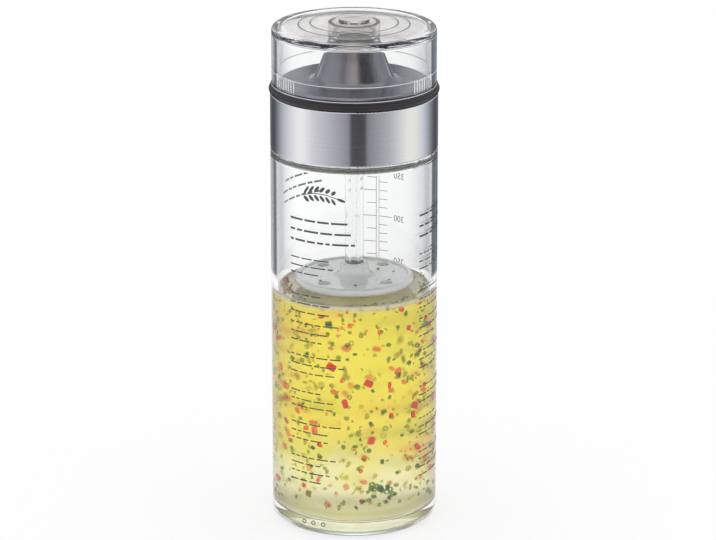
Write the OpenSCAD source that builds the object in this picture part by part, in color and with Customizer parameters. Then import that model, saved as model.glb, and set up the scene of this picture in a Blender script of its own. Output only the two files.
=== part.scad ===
// Dressing shaker bottle: a straight glass bottle with a screw-on pouring head, a hanging
// mixing rod with a perforated disc, and a clear lid that closes the spout.
// The origin is the middle of the base on the table, +Z is up, lengths are in millimetres.

/* [Glass bottle] */
// Outer diameter of the glass
glass_d = 65; // [62:0.5:75]
// Thickness of the glass wall
glass_wall = 2.5; // [2:0.1:3.5]
// Height of the outer shoulder above the table
shoulder_z = 151; // [130:1:210]
// Thickness of the shoulder
shoulder_thick = 2.2; // [2:0.1:4]
// Radius of the outer edge of the shoulder
shoulder_round = 1; // [0.4:0.1:1.2]
// Radius inside, under the shoulder
shoulder_inner_round = 1.4; // [1:0.1:4.5]
// Thickness of the base at the edge of the floor
base_thick = 4.6; // [3.5:0.1:8]
// Rise of the floor from its edge to its middle
floor_crown = 1.2; // [0.4:0.1:2]
// Radius inside, round the floor
floor_round = 8; // [4:0.1:12]
// Radius outside, round the heel
heel_round = 4.5; // [2.5:0.1:6]
// Width of the foot ring that stands on the table
foot_width = 2; // [1:0.1:4]
// Height of the hollow under the base
punt_depth = 1.4; // [0.6:0.1:2]

/* [Neck and thread] */
// Height of the neck above the shoulder
neck_h = 18.2; // [16:0.1:24]
// Thickness of the neck
neck_wall = 2.8; // [2.2:0.1:3.6]
// Radius of the rim's two edges
rim_round = 0.9; // [0.4:0.1:1]
// Height of the thread above the neck's surface
thread_depth = 1.4; // [0.8:0.1:1.8]
// Width of the thread at its root
thread_root = 2.8; // [2.4:0.1:3.2]
// Width of the thread at its crest
thread_crest = 1.4; // [1:0.1:1.8]
// Rise of the thread in one full turn
thread_lead = 12; // [9:0.5:13]
// Number of thread starts round the neck
thread_starts = 3; // [2:1:3]
// Angle that each thread on the glass spans
thread_span = 85; // [70:1:85]
// Angle that each lug in the collar spans
lug_span = 20; // [12:1:24]
// Depth of the thread's low end under the rim
thread_drop = 8.2; // [7:0.1:9]
// Gap between crests and walls in the thread
thread_clear = 0.3; // [0.2:0.05:0.5]
// Gap between the flanks of the thread
thread_play = 0.25; // [0.2:0.05:0.5]

/* [Pouring head] */
// Thickness of the gasket on the rim
gasket_thick = 1.6; // [1:0.1:2.5]
// Thickness of the collar's skirt
collar_wall = 2.2; // [1.6:0.1:2.8]
// Thickness of the collar's top
collar_top = 1.6; // [1.2:0.1:3]
// Thickness of the steel sheet of the band and the spout
sheet = 0.6; // [0.4:0.1:0.8]
// How far the band stands out past the glass
band_proud = 0.05; // [0.05:0.05:0.4]
// Gap between the shoulder and the band
band_gap = 0.3; // [0.2:0.1:1]
// Width of the hem under the collar's skirt
hem_w = 1.5; // [1:0.1:1.8]
// Height of the dark ring on the band
ring_h = 3.4; // [2.4:0.1:5]
// How far the ring's bead stands out past the band
ring_proud = 0.5; // [0.2:0.1:1]
// Radius of the ring's bead
ring_bead = 1.15; // [0.8:0.05:1.2]
// Height of the deck above the dark ring
deck_rise = 1.4; // [1:0.1:3]
// Radius of the deck's outer edge
deck_round = 1; // [0.8:0.1:1.2]

/* [Spout] */
// Height of the spout above the deck
spout_h = 15.2; // [12:0.1:15.5]
// Outer diameter of the spout's mouth
mouth_d = 19.7; // [19:0.1:22]
// Slant of the spout's side from upright, in degrees
spout_slant = 21.5; // [15:0.5:26]
// Radius where the spout meets the deck
foot_round = 4; // [2:0.1:6]
// Radius of the edge of the mouth
mouth_round = 0.8; // [0.7:0.1:1]
// Diameter of the pouring channel
channel_d = 15.6; // [14:0.1:16]
// Length of the straight part of the channel
channel_h = 8.4; // [7:0.1:9.5]
// Thickness of the liner's walls
liner_wall = 1.2; // [1:0.1:1.4]
// Diameter of the inlet in the collar's top
inlet_d = 29.6; // [26:0.1:30]
// Wall of the holder's spigot in the inlet
spigot_wall = 1.3; // [1:0.1:1.6]

/* [Mixer] */
// Diameter of the rod
rod_d = 7.2; // [6:0.1:8.4]
// Diameter of the bore down the rod
rod_bore_d = 3.2; // [2:0.1:3.6]
// Height of the disc's upper face above the table
disc_z = 99.8; // [60:0.5:110]
// Gap between the disc and the bore of the neck
disc_clear = 1.8; // [1:0.1:5]
// Thickness of the disc at its rim
disc_thick = 3; // [2.8:0.1:5]
// Radius of the disc's outer edges
disc_edge_round = 1.25; // [0.5:0.05:1.3]
// Depth that the disc is dished on either face
disc_dish = 0.5; // [0.2:0.1:0.6]
// Width of the disc's thick rim
disc_rim_w = 2.2; // [1.6:0.1:3]
// Diameter of the holes in the disc
hole_d = 5; // [3:0.1:6]
// Number of holes in the disc
hole_count = 4; // [3:1:6]
// Distance from the disc's edge to the middle of each hole
hole_inset = 6.5; // [5.3:0.1:8]
// Turn of the first hole from the X axis, in degrees
hole_turn = 47; // [0:1:90]
// Height of the hub above the disc
disc_hub_h = 4.4; // [3:0.1:8]
// Thickness of the wall round the rod in the disc and the holder
hub_wall = 1.9; // [1.4:0.1:2.4]
// Depth of the socket that carries the rod
socket_depth = 10.8; // [8:0.1:11.5]
// Thickness of the floor over the rod's end
socket_top = 1.5; // [1:0.1:3]
// Number of arms that carry the socket
arm_count = 3; // [2:1:4]
// Thickness of the arms that carry the socket
arm_w = 2.6; // [1.6:0.1:3.4]
// Height of the arms
arm_h = 4; // [3:0.1:6]
// Gap round the rod in its socket
rod_fit = 0.06; // [0.02:0.01:0.1]
// Height of the stop round the rod under its socket
rod_stop_h = 1.2; // [0.8:0.1:2]
// Width of the stop round the rod
rod_stop_w = 1; // [0.6:0.1:1.6]
// Thickness of the hub's floor, which the rod stands on
hub_floor = 1.4; // [1:0.1:1.8]
// Diameter of the pin that carries the disc
pin_d = 5.2; // [4.4:0.1:5.6]
// Height of the cap under the disc
cap_h = 2.6; // [2.2:0.1:4]
// Thickness of the cap's floor
cap_floor = 0.8; // [0.6:0.1:1.2]

/* [Clear lid] */
// How far the lid's wall stands in from the band
lid_inset = 0.65; // [0.4:0.05:1.5]
// Height of the lid's rim above its lower edge
lid_h = 22.6; // [20.5:0.1:30]
// Thickness of the lid's side wall
lid_wall = 2.3; // [1.9:0.1:2.6]
// Thickness of the lid's top
lid_top = 1.8; // [1.4:0.1:2.2]
// Radius of the lid's upper edge
lid_round = 1.6; // [0.8:0.1:2]
// Width of the raised rim round the top
lid_rim_w = 3.6; // [3:0.1:5]
// Drop from the rim to the edge of the domed top
lid_valley = 0.6; // [0.3:0.1:1.2]
// Rise of the domed top
lid_crown = 2.9; // [1.5:0.1:4]
// Diameter of the button in the middle of the top
button_d = 15.2; // [10:0.1:18]
// Height of the button
button_h = 1; // [0.6:0.1:2]
// Height of the gripping zone at the lower edge
grip_h = 6; // [3:0.1:8]
// Depth of the gripping zone's pockets
grip_depth = 0.4; // [0.2:0.05:0.6]
// Number of groups of ribs round the gripping zone
grip_count = 3; // [2:1:4]
// Number of ribs in each group
rib_count = 8; // [4:1:10]
// Angle that each rib spans, in degrees, as does the gap beside it
rib_span = 1.5; // [1:0.1:3]
// Gap between the ribs and the deck's edge
grip_clear = 0.1; // [0.05:0.01:0.3]
// Wall of the tube under the lid's top
tube_wall = 1.5; // [1.1:0.1:1.8]
// Thickness of the plug's flange
plug_flange = 1.2; // [0.8:0.1:2]
// Depth that the plug reaches into the spout
plug_depth = 6; // [4.5:0.1:7]
// Gap round the plug in the channel
plug_clear = 0.3; // [0.2:0.05:0.5]
// Thickness of the plug's walls
plug_wall = 1.4; // [1.2:0.1:1.8]
// Height of the plug's spigot in the lid's tube
plug_spigot_h = 2; // [1:0.1:2.5]
// Thickness of the seal on the plug
plug_seal_d = 1; // [0.8:0.1:1.2]

/* [Hidden] */
$fn = 128;

right = [1, 0];
left = [-1, 0];
up = [0, 1];
down = [0, -1];
// Overlap that joins two shapes of one piece
join = 0.2;
// Length by which a cut runs past the surface that it opens
past = 1;
// Gap between pieces that lie loosely beside each other
slip = 0.3;
// Gap between pieces that are glued or clipped together
glue = 0.05;

// Radii of the glass and of the head, from the outside in
glass_r = glass_d / 2;
glass_bore_r = glass_r - glass_wall;
band_r = glass_r + band_proud;
collar_r = band_r - sheet - glue;
collar_bore_r = collar_r - collar_wall;
thread_r = collar_bore_r - thread_clear;
neck_r = thread_r - thread_depth;
neck_bore_r = neck_r - neck_wall;
foot_r = glass_r - heel_round - foot_width;

// Levels from the table up
cavity_top_z = shoulder_z - shoulder_thick;
rim_z = shoulder_z + neck_h;
collar_under_z = rim_z + gasket_thick;
collar_top_z = collar_under_z + collar_top;
band_low_z = shoulder_z + band_gap;
band_top_z = collar_top_z + sheet;
ring_top_z = band_top_z + ring_h;
deck_z = ring_top_z + deck_rise;
mouth_z = deck_z + spout_h;
lid_rim_z = ring_top_z + lid_h;

// Thread: the pitch radius, the flank's slope and the drop of the lugs under the threads
pitch_r = neck_r + thread_depth / 2;
flank = (thread_root - thread_crest) / 2 / thread_depth;
thread_low_z = rim_z - thread_drop;
lug_drop = thread_root - flank * (thread_depth + thread_clear) + thread_play;
// Lugs that have turned past their thread stand in the middle of the gap to the next one
open_turn = 90;
gap_mid = (thread_span + 360 / max(thread_starts, 3)) / 2;
lug_mid = gap_mid - open_turn;

// Lid and the deck inside its ribs
lid_r = band_r - lid_inset;
lid_bore_r = lid_r - lid_wall;
deck_r = lid_bore_r - grip_clear;
lid_valley_z = lid_rim_z - lid_valley;
lid_rim_in_r = lid_r - lid_rim_w;
dome_r = (lid_rim_in_r * lid_rim_in_r + lid_crown * lid_crown) / (2 * lid_crown);
dome_mid_z = lid_valley_z + lid_crown - dome_r;
lid_under_z = lid_valley_z - lid_top;
button_r = button_d / 2;

// Spout, liner and plug
mouth_r = mouth_d / 2;
channel_r = channel_d / 2;
inlet_r = inlet_d / 2;
liner_tube_r = channel_r + liner_wall;
liner_top_z = mouth_z - sheet;
channel_low_z = liner_top_z - channel_h;
liner_flange_r = deck_r - sheet - slip;
liner_flange_z = collar_top_z + liner_wall;
spigot_r = inlet_r - 3 * glue;
plug_r = channel_r - plug_clear;
plug_flange_r = mouth_r + glue;
plug_low_z = mouth_z - plug_depth;
plug_top_z = mouth_z + glue + plug_flange;
plug_floor_low_z = mouth_z - plug_wall;
tube_bore_r = plug_flange_r - tube_wall;
seal_ring_r = plug_r + plug_clear / 2 - plug_seal_d / 2;
seal_z = plug_low_z + 1.5 * plug_seal_d;

// Mixer
rod_r = rod_d / 2;
pin_r = pin_d / 2;
disc_r = neck_bore_r - disc_clear;
hole_ring_r = disc_r - hole_inset;
hub_r = rod_r + rod_fit + hub_wall;
socket_top_z = collar_under_z - socket_top;
socket_low_z = socket_top_z - socket_depth;
rod_top_z = socket_top_z - slip;
disc_low_z = disc_z - disc_thick;
web_top_z = disc_z - disc_dish;
web_low_z = disc_low_z + disc_dish;
rod_seat_z = web_low_z + hub_floor;
cap_low_z = web_low_z - cap_h;
pin_low_z = cap_low_z + cap_floor + glue;

// Fills or cuts the corner at p between edges that leave it along the unit vectors u and v
module round_at(p, u, v, r) {
    half = acos(u * v) / 2;
    reach = r / tan(half);
    middle = p + (u + v) / norm(u + v) * r / sin(half);
    difference() {
        polygon([
            p - join * (u + v), p + reach * u - join * v, p + reach * u,
            p + reach * v, p + reach * v - join * u
        ]);
        translate(middle) circle(r);
    }
}

// Rectangle in the profile plane between two radii and two levels
module band_2d(r0, r1, z0, z1) {
    translate([r0, z0]) square([r1 - r0, z1 - z0]);
}

// Plain ring about the Z axis
module ring(r0, r1, z0, z1) {
    rotate_extrude() band_2d(r0, r1, z0, z1);
}

// One thread or lug: a ring sector, tilted so that both ends lie on the helix.
// side is 1 where it stands outwards from r and -1 where it stands inwards.
module thread_piece(r, side, span, mid, z) {
    tilt = atan(thread_lead * span / 360 / (2 * pitch_r * sin(span / 2)));
    crest = thread_crest / 2;
    buried = 3 * join;
    root = thread_root / 2 + flank * buried;
    translate([0, 0, z])
        rotate([0, 0, mid])
        rotate([tilt, 0, 0])
        rotate([0, 0, -span / 2])
        rotate_extrude(angle = span)
        translate([r, 0])
        polygon([
            [-side * buried, -root], [side * thread_depth, -crest],
            [side * thread_depth, crest], [-side * buried, root]
        ]);
}

// Level of the middle of a glass thread at an angle from its low end
function thread_z(angle) = thread_low_z + thread_lead * angle / 360;

// Outer profile of the glass, with the punt under its base
module glass_outline() {
    punt_r = (foot_r * foot_r + punt_depth * punt_depth) / (2 * punt_depth);
    difference() {
        union() {
            square([glass_r, shoulder_z]);
            square([neck_r, rim_z]);
            round_at([neck_r, shoulder_z], right, up, shoulder_round);
        }
        round_at([glass_r, 0], left, up, heel_round);
        round_at([glass_r, shoulder_z], left, down, shoulder_round);
        round_at([neck_r, rim_z], left, down, rim_round);
        translate([0, punt_depth - punt_r]) circle(punt_r, $fn = 720);
    }
}

// Profile of the space inside the glass, open at the rim
module glass_cavity() {
    floor_r = glass_bore_r - floor_round;
    crown_r = (floor_r * floor_r + floor_crown * floor_crown) / (2 * floor_crown);
    difference() {
        union() {
            band_2d(0, glass_bore_r, base_thick, cavity_top_z);
            band_2d(0, neck_bore_r, base_thick, rim_z + past);
            round_at([neck_bore_r, cavity_top_z], right, up, shoulder_round);
            round_at([neck_bore_r, rim_z], right, down, rim_round);
        }
        round_at([glass_bore_r, base_thick], left, up, floor_round);
        round_at([glass_bore_r, cavity_top_z], left, down, shoulder_inner_round);
        translate([0, base_thick + floor_crown - crown_r]) circle(crown_r, $fn = 720);
    }
}

// Blown and pressed glass body with a three-start thread on its neck
module glass_bottle() {
    color([0.86, 0.93, 0.91, 0.4]) {
        rotate_extrude() difference() {
            glass_outline();
            glass_cavity();
        }
        for (i = [0 : thread_starts - 1])
            thread_piece(
                neck_r, 1, thread_span, i * 360 / thread_starts + thread_span / 2,
                thread_z(thread_span / 2)
            );
    }
}

// Flat silicone washer between the rim and the collar
module neck_gasket() {
    color([0.92, 0.92, 0.9])
        ring(neck_bore_r - slip + glue, collar_bore_r - slip, rim_z, collar_under_z);
}

// Moulded collar with lugs that run under the threads of the neck
module threaded_collar() {
    skirt_low_z = band_low_z + sheet;
    color([0.2, 0.2, 0.21]) {
        rotate_extrude() difference() {
            union() {
                band_2d(collar_bore_r, collar_r, skirt_low_z, collar_top_z);
                band_2d(inlet_r, collar_r, collar_under_z, collar_top_z);
            }
            round_at([collar_bore_r, skirt_low_z], right, up, collar_wall / 4);
        }
        for (i = [0 : thread_starts - 1])
            thread_piece(
                collar_bore_r, -1, lug_span, i * 360 / thread_starts + lug_mid,
                thread_z(lug_mid) - lug_drop
            );
    }
}

// Brushed steel band round the collar, with a flange on top and a hem underneath
module steel_band() {
    color([0.72, 0.72, 0.73])
        rotate_extrude() difference() {
            band_2d(collar_r - hem_w, band_r, band_low_z, band_top_z);
            band_2d(0, collar_r + glue, band_low_z + sheet, collar_top_z);
            round_at([band_r, band_top_z], left, down, 0.75 * sheet);
            round_at([band_r, band_low_z], left, up, 0.75 * sheet);
        }
}

// Dark silicone ring with a bead, which the lid stands on
module dark_ring() {
    bead_mid_r = band_r + ring_proud - ring_bead;
    bead_mid_z = band_top_z + ring_bead + sheet / 2;
    color([0.16, 0.14, 0.14])
        rotate_extrude() {
            difference() {
                band_2d(deck_r + 2 * glue, bead_mid_r + ring_bead / 2, band_top_z, ring_top_z);
                round_at([bead_mid_r + ring_bead / 2, ring_top_z], left, down, ring_bead / 2);
            }
            translate([bead_mid_r, bead_mid_z]) circle(ring_bead);
        }
}

// Profile of the spout and deck, drawn in from the outer surface by inset
module cover_profile(inset) {
    top_z = mouth_z - inset;
    plane_z = deck_z - inset;
    top_r = mouth_r + inset * tan(spout_slant) - inset / cos(spout_slant);
    root_r = top_r + (top_z - plane_z) * tan(spout_slant);
    edge_r = deck_r - inset;
    low_z = collar_top_z - (inset > 0 ? past : 0);
    slope_up = [-sin(spout_slant), cos(spout_slant)];
    union() {
        difference() {
            band_2d(0, edge_r, low_z, plane_z);
            round_at([edge_r, plane_z], left, down, deck_round - inset);
        }
        difference() {
            polygon([[0, plane_z - join], [root_r, plane_z - join],
                [root_r, plane_z], [top_r, top_z], [0, top_z]]);
            if (inset == 0) round_at([top_r, top_z], left, -slope_up, mouth_round);
        }
        round_at([root_r, plane_z], right, slope_up, foot_round + inset);
    }
}

// Drawn steel cover: the deck, its turned-down edge, the spout and the lip of the mouth
module spout_cover() {
    color([0.62, 0.62, 0.64])
        rotate_extrude() difference() {
            cover_profile(0);
            cover_profile(sheet);
            band_2d(0, channel_r + glue, deck_z, mouth_z + past);
        }
}

// Moulded liner: a flange on the collar, a wall under the deck, a funnel and the channel
module spout_liner() {
    funnel_low_z = liner_flange_z + join;
    wall_top_z = deck_z - sheet;
    wall_in_r = liner_flange_r - 1.5 * liner_wall;
    lean = atan((inlet_r - channel_r) / (channel_low_z - funnel_low_z));
    outer_step = liner_wall / cos(lean);
    color([0.93, 0.93, 0.92])
        rotate_extrude() difference() {
            polygon([
                [inlet_r, collar_top_z], [liner_flange_r, collar_top_z],
                [liner_flange_r, wall_top_z], [wall_in_r, wall_top_z],
                [wall_in_r, liner_flange_z], [inlet_r + outer_step, liner_flange_z],
                [inlet_r + outer_step, funnel_low_z], [liner_tube_r, channel_low_z],
                [liner_tube_r, liner_top_z], [channel_r, liner_top_z],
                [channel_r, channel_low_z], [inlet_r, funnel_low_z]
            ]);
            round_at([liner_flange_r, wall_top_z], left, down, deck_round - glue);
        }
}

// Moulded holder under the collar's top: a flange, a spigot, three arms and the rod's socket
module rod_holder() {
    flange_r = neck_bore_r - 2 * slip;
    spigot_in_r = spigot_r - spigot_wall;
    color([0.93, 0.93, 0.92])
        difference() {
            union() {
                ring(spigot_in_r, flange_r, rim_z, collar_under_z);
                ring(spigot_in_r, spigot_r, rim_z, liner_flange_z);
                translate([0, 0, socket_low_z])
                    cylinder(r = hub_r, h = collar_under_z - socket_low_z);
                for (i = [0 : arm_count - 1])
                    rotate([0, 0, 60 + i * 360 / arm_count])
                    translate([0, -arm_w / 2, collar_under_z - arm_h])
                    cube([spigot_in_r + spigot_wall / 2, arm_w, arm_h]);
            }
            translate([0, 0, socket_low_z - past])
                cylinder(r = rod_r + rod_fit, h = socket_depth + past);
        }
}

// Translucent rod: a bore from its top, a stop under the socket and a pin for the disc
module mixing_rod() {
    stop_z = socket_low_z - slip - rod_stop_h;
    color([0.95, 0.96, 0.97, 0.8])
        rotate_extrude() {
            difference() {
                band_2d(0, rod_r, rod_seat_z, rod_top_z);
                band_2d(0, rod_bore_d / 2, disc_z, rod_top_z + past);
                round_at([rod_r, rod_top_z], left, down, rod_d / 12);
            }
            band_2d(rod_r - join, rod_r + rod_stop_w, stop_z, stop_z + rod_stop_h);
            band_2d(0, pin_r, pin_low_z, rod_seat_z + join);
        }
}

// Perforated disc, thicker at its rounded rim, with a hub that the rod stands in
module mixing_disc() {
    hub_top_z = disc_z + disc_hub_h;
    dish_r = disc_r - disc_rim_w;
    dish_round = 0.9 * disc_dish;
    color([0.97, 0.97, 0.97])
        difference() {
            rotate_extrude() {
                difference() {
                    band_2d(0, disc_r, disc_low_z, disc_z);
                    round_at([disc_r, disc_z], left, down, disc_edge_round);
                    round_at([disc_r, disc_low_z], left, up, disc_edge_round);
                    difference() {
                        band_2d(0, dish_r, web_top_z, disc_z + past);
                        round_at([dish_r, web_top_z], left, up, dish_round);
                    }
                    difference() {
                        band_2d(0, dish_r, disc_low_z - past, web_low_z);
                        round_at([dish_r, web_low_z], left, down, dish_round);
                    }
                }
                difference() {
                    band_2d(0, hub_r, web_low_z + join, hub_top_z);
                    round_at([hub_r, hub_top_z], left, down, hub_wall / 2);
                }
                round_at([hub_r, web_top_z], right, up, disc_hub_h * 0.7);
            }
            translate([0, 0, rod_seat_z])
                cylinder(r = rod_r + rod_fit, h = disc_hub_h + disc_thick);
            translate([0, 0, disc_low_z - past])
                cylinder(r = pin_r + glue, h = disc_thick + past);
            for (i = [0 : hole_count - 1])
                rotate([0, 0, hole_turn + i * 360 / hole_count])
                translate([hole_ring_r, 0, disc_low_z - past])
                cylinder(r = hole_d / 2, h = disc_thick + 2 * past);
        }
}

// Push-on cap that holds the disc on the rod's pin
module disc_cap() {
    cap_r = hub_r - glue;
    color([0.97, 0.97, 0.97])
        difference() {
            rotate_extrude() difference() {
                band_2d(0, cap_r, cap_low_z, web_low_z);
                round_at([cap_r, cap_low_z], left, up, cap_h / 3);
            }
            translate([0, 0, cap_low_z + cap_floor])
                cylinder(r = pin_r + glue, h = cap_h);
        }
}

// Clear lid: the wall, the rim, the domed top with its button, and the tube for the plug
module clear_lid() {
    button_top_r = button_r - 0.7 * button_h;
    button_z = lid_valley_z + lid_crown;
    color([0.85, 0.92, 0.95, 0.35]) {
        rotate_extrude() difference() {
            union() {
                difference() {
                    band_2d(0, lid_r, ring_top_z, lid_valley_z);
                    lid_hollow();
                }
                difference() {
                    band_2d(lid_rim_in_r, lid_r, lid_valley_z - join, lid_rim_z);
                    round_at([lid_rim_in_r, lid_rim_z], right, down, lid_valley * 0.8);
                }
                intersection() {
                    translate([0, dome_mid_z]) circle(dome_r, $fn = 720);
                    difference() {
                        band_2d(0, lid_rim_in_r + join, lid_valley_z - join, lid_rim_z + lid_crown);
                        lid_hollow();
                    }
                }
                polygon([
                    [0, button_z - lid_top], [button_r, button_z - lid_top / 2],
                    [button_r, button_z - join], [button_top_r, button_z + button_h],
                    [0, button_z + button_h]
                ]);
                difference() {
                    band_2d(tube_bore_r, plug_flange_r, plug_top_z, button_z);
                    translate([0, dome_mid_z]) difference() {
                        circle(dome_r * 2);
                        circle(dome_r - lid_top / 2, $fn = 720);
                    }
                }
            }
            round_at([lid_r, lid_rim_z], left, down, lid_round);
        }
        for (group = [0 : grip_count - 1], i = [0 : rib_count - 1])
            rotate([0, 0, 90 + group * 360 / grip_count + (2 * i + 0.5 - rib_count) * rib_span])
            rotate_extrude(angle = rib_span)
            band_2d(
                lid_bore_r + glue, lid_bore_r + grip_depth + join,
                ring_top_z + 2 * join, ring_top_z + grip_h + join
            );
    }
}

// Profile of the space inside the lid, without its tube
module lid_hollow() {
    inner_round = 1.2;
    difference() {
        band_2d(0, lid_bore_r, ring_top_z - past, lid_under_z);
        round_at([lid_bore_r, lid_under_z], left, down, inner_round);
    }
    band_2d(0, lid_bore_r + grip_depth, ring_top_z - past, ring_top_z + grip_h);
    intersection() {
        translate([0, dome_mid_z]) circle(dome_r - lid_top, $fn = 720);
        band_2d(0, lid_bore_r, lid_under_z - join, lid_rim_z + lid_crown);
    }
}

// Plug in the lid's tube: a flange on the mouth, a spigot above and a sealing skirt below
module lid_plug() {
    spigot_out_r = tube_bore_r - glue;
    color([0.92, 0.94, 0.96, 0.6])
        rotate_extrude() difference() {
            union() {
                band_2d(0, plug_flange_r, mouth_z + glue, plug_top_z);
                band_2d(0, spigot_out_r, plug_top_z - join, plug_top_z + plug_spigot_h);
                band_2d(0, plug_r, plug_low_z, mouth_z + glue + join);
            }
            band_2d(0, plug_r - plug_wall, plug_low_z - past, plug_floor_low_z);
            band_2d(
                0, spigot_out_r - plug_wall, plug_top_z - plug_flange / 3,
                plug_top_z + plug_spigot_h + past
            );
            band_2d(
                seal_ring_r - plug_seal_d / 2, plug_r + past,
                seal_z - plug_seal_d / 2 - glue, seal_z + plug_seal_d / 2 + glue
            );
        }
}

// Round seal in the groove of the plug
module plug_seal() {
    color([0.85, 0.85, 0.84])
        rotate_extrude() translate([seal_ring_r, seal_z]) circle(plug_seal_d / 2);
}

glass_bottle();
neck_gasket();
threaded_collar();
steel_band();
dark_ring();
spout_cover();
spout_liner();
rod_holder();
mixing_rod();
mixing_disc();
disc_cap();
clear_lid();
lid_plug();
plug_seal();
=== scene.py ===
"""Dressing shaker bottle: its finishes, the dressing and herbs inside, the printed scale and the studio.

Lengths named in millimetres are turned into Blender's metres by MM. An azimuth is an angle in
degrees round the bottle: 0 faces the camera at -Y, 90 is +X and 180 is the back.
"""

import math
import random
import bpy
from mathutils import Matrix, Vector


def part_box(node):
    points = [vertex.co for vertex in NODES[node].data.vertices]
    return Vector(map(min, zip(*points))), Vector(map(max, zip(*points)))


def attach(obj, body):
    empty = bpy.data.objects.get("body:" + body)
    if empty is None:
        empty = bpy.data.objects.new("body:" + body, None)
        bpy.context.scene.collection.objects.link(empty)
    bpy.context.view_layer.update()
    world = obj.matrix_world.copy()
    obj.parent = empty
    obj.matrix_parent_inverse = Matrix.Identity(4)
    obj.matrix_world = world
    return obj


bl_info = {
    "name": "Dressing shaker bottle",
    "version": (1, 0, 0),
    "blender": (4, 5, 0),
    "location": "View3D > Sidebar > Shaker",
    "description": "Finishes a glass dressing shaker, fills it with dressing and prints its scale",
    "category": "Object",
}

import bmesh
import bpy
from bpy.props import FloatProperty, FloatVectorProperty, IntProperty, PointerProperty
from mathutils import Euler, Matrix, Vector

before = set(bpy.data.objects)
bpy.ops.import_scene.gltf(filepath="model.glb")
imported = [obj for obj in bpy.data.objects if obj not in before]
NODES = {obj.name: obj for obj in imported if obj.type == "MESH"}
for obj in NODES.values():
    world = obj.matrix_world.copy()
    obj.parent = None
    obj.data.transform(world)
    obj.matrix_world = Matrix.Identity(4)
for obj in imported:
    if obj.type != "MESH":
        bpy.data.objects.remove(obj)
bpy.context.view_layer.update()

MM = 0.001
WHITE = (1.0, 1.0, 1.0, 1.0)
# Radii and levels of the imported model, in millimetres
GLASS_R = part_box("glass_bottle")[1].x / MM
DISC_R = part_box("mixing_disc")[1].x / MM
DISC_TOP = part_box("disc_cap")[1].z / MM + 2.5


def linear(code):
    """Linear colour with an alpha of 1 from an sRGB hex code."""
    parts = [int(code[i : i + 2], 16) / 255 for i in (1, 3, 5)]
    return tuple(c / 12.92 if c <= 0.04045 else ((c + 0.055) / 1.055) ** 2.4 for c in parts) + (1.0,)


def add(tree, kind, sockets=None, stops=None, **settings):
    """Adds one node with its settings, its sockets' values or links, and a ramp's (place, colour) stops.

    A socket is called by its name or place, and a node given as its value links the first output in use.
    """
    node = tree.nodes.new("ShaderNode" + kind)
    for name, value in settings.items():
        setattr(node, name, value)
    for key, value in (sockets or {}).items():
        socket = node.inputs[key] if isinstance(key, int) else next(s for s in node.inputs if s.enabled and s.name == key)
        if isinstance(value, bpy.types.Node):
            value = next(s for s in value.outputs if s.enabled)
        if isinstance(value, bpy.types.NodeSocket):
            tree.links.new(value, socket)
        else:
            socket.default_value = value
    if stops:
        points = node.color_ramp.elements
        while len(points) < len(stops):
            points.new(1.0)
        for point, (place, code) in zip(points, stops):
            point.position = place
            point.color = linear(code)
    return node


def material(name):
    """New material and its empty node tree."""
    made = bpy.data.materials.new(name)
    made.use_nodes = True
    made.node_tree.nodes.clear()
    return made, made.node_tree


def place_mm(tree, stretch=(1, 1, 1)):
    """Object coordinates in millimetres, stretched along the axes."""
    where = add(tree, "TexCoord").outputs["Object"]
    return add(tree, "Mapping", {"Vector": where, "Scale": [s / MM for s in stretch]})


def dress(made, *names):
    """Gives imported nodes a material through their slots."""
    for name in names:
        for slot in NODES[name].material_slots:
            slot.material = made


def piece(name, bm, made, body="bottle", sharp=35):
    """Turns a bmesh, in metres, into an object that rides on a body."""
    for face in bm.faces:
        face.smooth = True
    mesh = bpy.data.meshes.new(name)
    bm.to_mesh(mesh)
    bm.free()
    mesh.set_sharp_from_angle(angle=math.radians(sharp))
    thing = bpy.data.objects.new(name, mesh)
    bpy.context.scene.collection.objects.link(thing)
    mesh.materials.append(made)
    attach(thing, body)
    return thing


def lathe(profile, steps=128):
    """Bmesh of a profile of (radius, level) points in millimetres, turned round the Z axis."""
    bm = bmesh.new()
    verts = [bm.verts.new((r * MM, 0, z * MM)) for r, z in profile]
    edges = [bm.edges.new(pair) for pair in zip(verts, verts[1:])]
    bmesh.ops.spin(
        bm, geom=verts + edges, cent=(0, 0, 0), axis=(0, 0, 1), angle=2 * math.pi, steps=steps, use_merge=True
    )
    bmesh.ops.remove_doubles(bm, verts=bm.verts, dist=0.001 * MM)
    bmesh.ops.recalc_face_normals(bm, faces=bm.faces)
    return bm


def wall(level, azimuth):
    """Radius of the glass's inner wall, in millimetres, at a level and an azimuth."""
    turn = math.radians(azimuth)
    way = Vector((math.sin(turn), -math.cos(turn), 0))
    hit, place, _, _ = NODES["glass_bottle"].ray_cast(Vector((0, 0, level * MM)), way)
    if not hit:
        raise RuntimeError("the glass has no wall at this level")
    return place.xy.length / MM


def at(azimuth, radius, level):
    """Point in metres at an azimuth in degrees, and a radius and a level in millimetres."""
    turn = math.radians(azimuth)
    return Vector((radius * math.sin(turn), -radius * math.cos(turn), level)) * MM


# Finishes


class FinishSettings(bpy.types.PropertyGroup):
    ripple: FloatProperty(
        name="Ripple", description="Depth of the slow waves in the pressed glass", default=0.006 * MM, unit="LENGTH"
    )
    steel: FloatVectorProperty(
        name="Steel", description="Colour of the steel band", default=linear("#EDEDF0")[:3], subtype="COLOR", size=3
    )


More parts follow.
